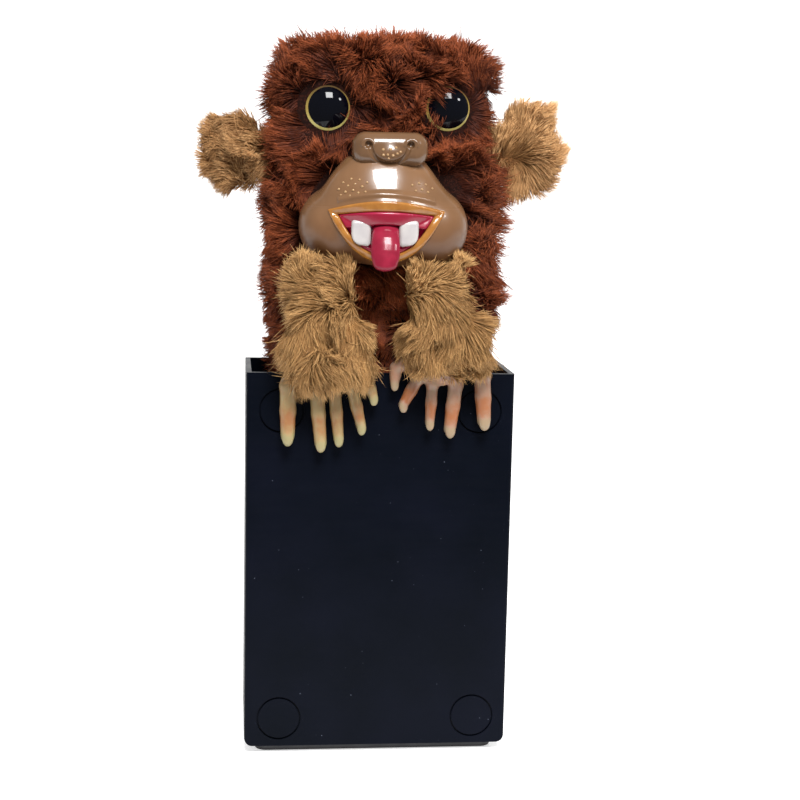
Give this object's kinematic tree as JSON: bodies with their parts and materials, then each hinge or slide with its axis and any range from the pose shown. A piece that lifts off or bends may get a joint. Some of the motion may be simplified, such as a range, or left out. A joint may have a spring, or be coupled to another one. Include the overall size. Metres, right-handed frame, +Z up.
{
  "type": "wind-up pop-up plush monkey in a box",
  "caption": "Furry pop-up monkey with a glossy muzzle and hinged arms, lifted out of an open-topped black box by a key-wound rack and pinion.",
  "frame": {"origin": "centre of the base plate's bottom face", "axes": "+Z up, -Y towards the monkey's face, +X to the right as seen from the front"},
  "size_m": [0.123, 0.0862, 0.246],
  "materials": {
    "box_plastic": "satin moulded, dusty",
    "base_plastic": "matt moulded",
    "screw_steel": "zinc plated",
    "movement_brass": "rolled sheet",
    "gear_brass": "cut and brushed",
    "arbor_steel": "turned",
    "spring_steel": "blued",
    "key_metal": "nickel plated",
    "stop_plastic": "moulded",
    "frame_plastic": "moulded",
    "rack_plastic": "moulded acetal",
    "brown_fur": "long pile fur fabric",
    "tan_fur": "long pile fur fabric",
    "muzzle_plastic": "high gloss, painted freckles",
    "nose_plastic": "high gloss, painted freckles",
    "lip_paint": "gloss paint",
    "mouth_plastic": "gloss",
    "tooth_plastic": "gloss",
    "tongue_rubber": "gloss soft vinyl",
    "eye_clear": "clear acrylic",
    "iris_gold": "painted gold",
    "pupil_black": "gloss",
    "hand_rubber": "soft vinyl, tinted knuckles"
  },
  "bodies": {
    "box": {"front_shell": "box_plastic", "back_cover": "box_plastic", "base_plate": "base_plastic", "corner_plugs": "box_plastic", "case_screws": "screw_steel", "base_screws": "screw_steel", "front_movement_plate": "movement_brass", "rear_movement_plate": "movement_brass", "plate_pillars": "movement_brass", "movement_screws": "screw_steel", "click_stud": "arbor_steel"},
    "barrel": {"great_wheel": "gear_brass", "spring_barrel": "movement_brass", "barrel_cover": "movement_brass", "mainspring": "spring_steel"},
    "winder": {"winding_arbor": "arbor_steel", "ratchet_wheel": "arbor_steel", "winding_key": "key_metal"},
    "click": {"ratchet_click": "arbor_steel"},
    "centre": {"centre_wheel": "gear_brass", "centre_pinion": "arbor_steel", "rack_pinion": "arbor_steel", "centre_arbor": "arbor_steel"},
    "fly": {"fly_pinion": "arbor_steel", "fly_arbor": "arbor_steel", "fly_wheel": "movement_brass"},
    "stop": {"stop_slider": "stop_plastic"},
    "figure": {"lift_rack": "rack_plastic", "rack_screws": "screw_steel", "carriage": "frame_plastic", "chassis_front": "frame_plastic", "chassis_back": "frame_plastic", "chassis_screws": "screw_steel", "body_fur": "brown_fur", "muzzle_shell": "muzzle_plastic", "muzzle_screws": "screw_steel", "nose_piece": "nose_plastic", "lip_ring": "lip_paint", "mouth_cup": "mouth_plastic", "teeth": "tooth_plastic", "tongue_pin": "arbor_steel", "left_eye_lens": "eye_clear", "left_eye_iris": "iris_gold", "left_eye_pupil": "pupil_black", "right_eye_lens": "eye_clear", "right_eye_iris": "iris_gold", "right_eye_pupil": "pupil_black", "eye_washers": "screw_steel", "left_ear": "tan_fur", "right_ear": "tan_fur", "left_shoulder_pin": "arbor_steel", "right_shoulder_pin": "arbor_steel"},
    "tongue": {"tongue": "tongue_rubber"},
    "left_arm": {"left_arm_link": "frame_plastic", "left_sleeve": "tan_fur", "left_hand": "hand_rubber"},
    "right_arm": {"right_arm_link": "frame_plastic", "right_sleeve": "tan_fur", "right_hand": "hand_rubber"}
  },
  "joints": [
    {"name": "lift", "type": "slide", "parent": "box", "child": "figure", "axis": [0, 0, 1], "range_m": [0, 0.024]},
    {"name": "centre_turn", "type": "hinge", "parent": "box", "child": "centre", "pos_m": [0.00343, 0, 0.05439], "axis": [0, 1, 0], "range_deg": [-172, 0]},
    {"name": "barrel_turn", "type": "hinge", "parent": "box", "child": "barrel", "pos_m": [-0.012, 0, 0.036], "axis": [0, 1, 0], "range_deg": [0, 57.5]},
    {"name": "fly_turn", "type": "hinge", "parent": "box", "child": "fly", "pos_m": [0.02155, 0, 0.04593], "axis": [0, 1, 0], "range_deg": [0, 516]},
    {"name": "key_turn", "type": "hinge", "parent": "box", "child": "winder", "pos_m": [-0.012, 0, 0.036], "axis": [0, 1, 0], "continuous": true},
    {"name": "click_pivot", "type": "hinge", "parent": "box", "child": "click", "pos_m": [-0.024, 0.0134, 0.046], "axis": [0, -1, 0], "range_deg": [0, 12]},
    {"name": "stop_slide", "type": "slide", "parent": "box", "child": "stop", "axis": [-1, 0, 0], "range_m": [0, 0.003]},
    {"name": "tongue_pivot", "type": "hinge", "parent": "figure", "child": "tongue", "pos_m": [0, -0.0295, 0.184], "axis": [-1, 0, 0], "range_deg": [0, 15]},
    {"name": "left_shoulder", "type": "hinge", "parent": "figure", "child": "left_arm", "pos_m": [-0.0195, -0.028, 0.16], "axis": [-1, 0, 0], "range_deg": [0, 45]},
    {"name": "right_shoulder", "type": "hinge", "parent": "figure", "child": "right_arm", "pos_m": [0.0195, -0.028, 0.16], "axis": [-1, 0, 0], "range_deg": [0, 45]}
  ],
  "couplings": [
    {"joint": "centre_turn", "follows": "lift", "rad_per_m": -125},
    {"joint": "barrel_turn", "follows": "lift", "rad_per_m": 41.667},
    {"joint": "fly_turn", "follows": "lift", "rad_per_m": 375}
  ]
}
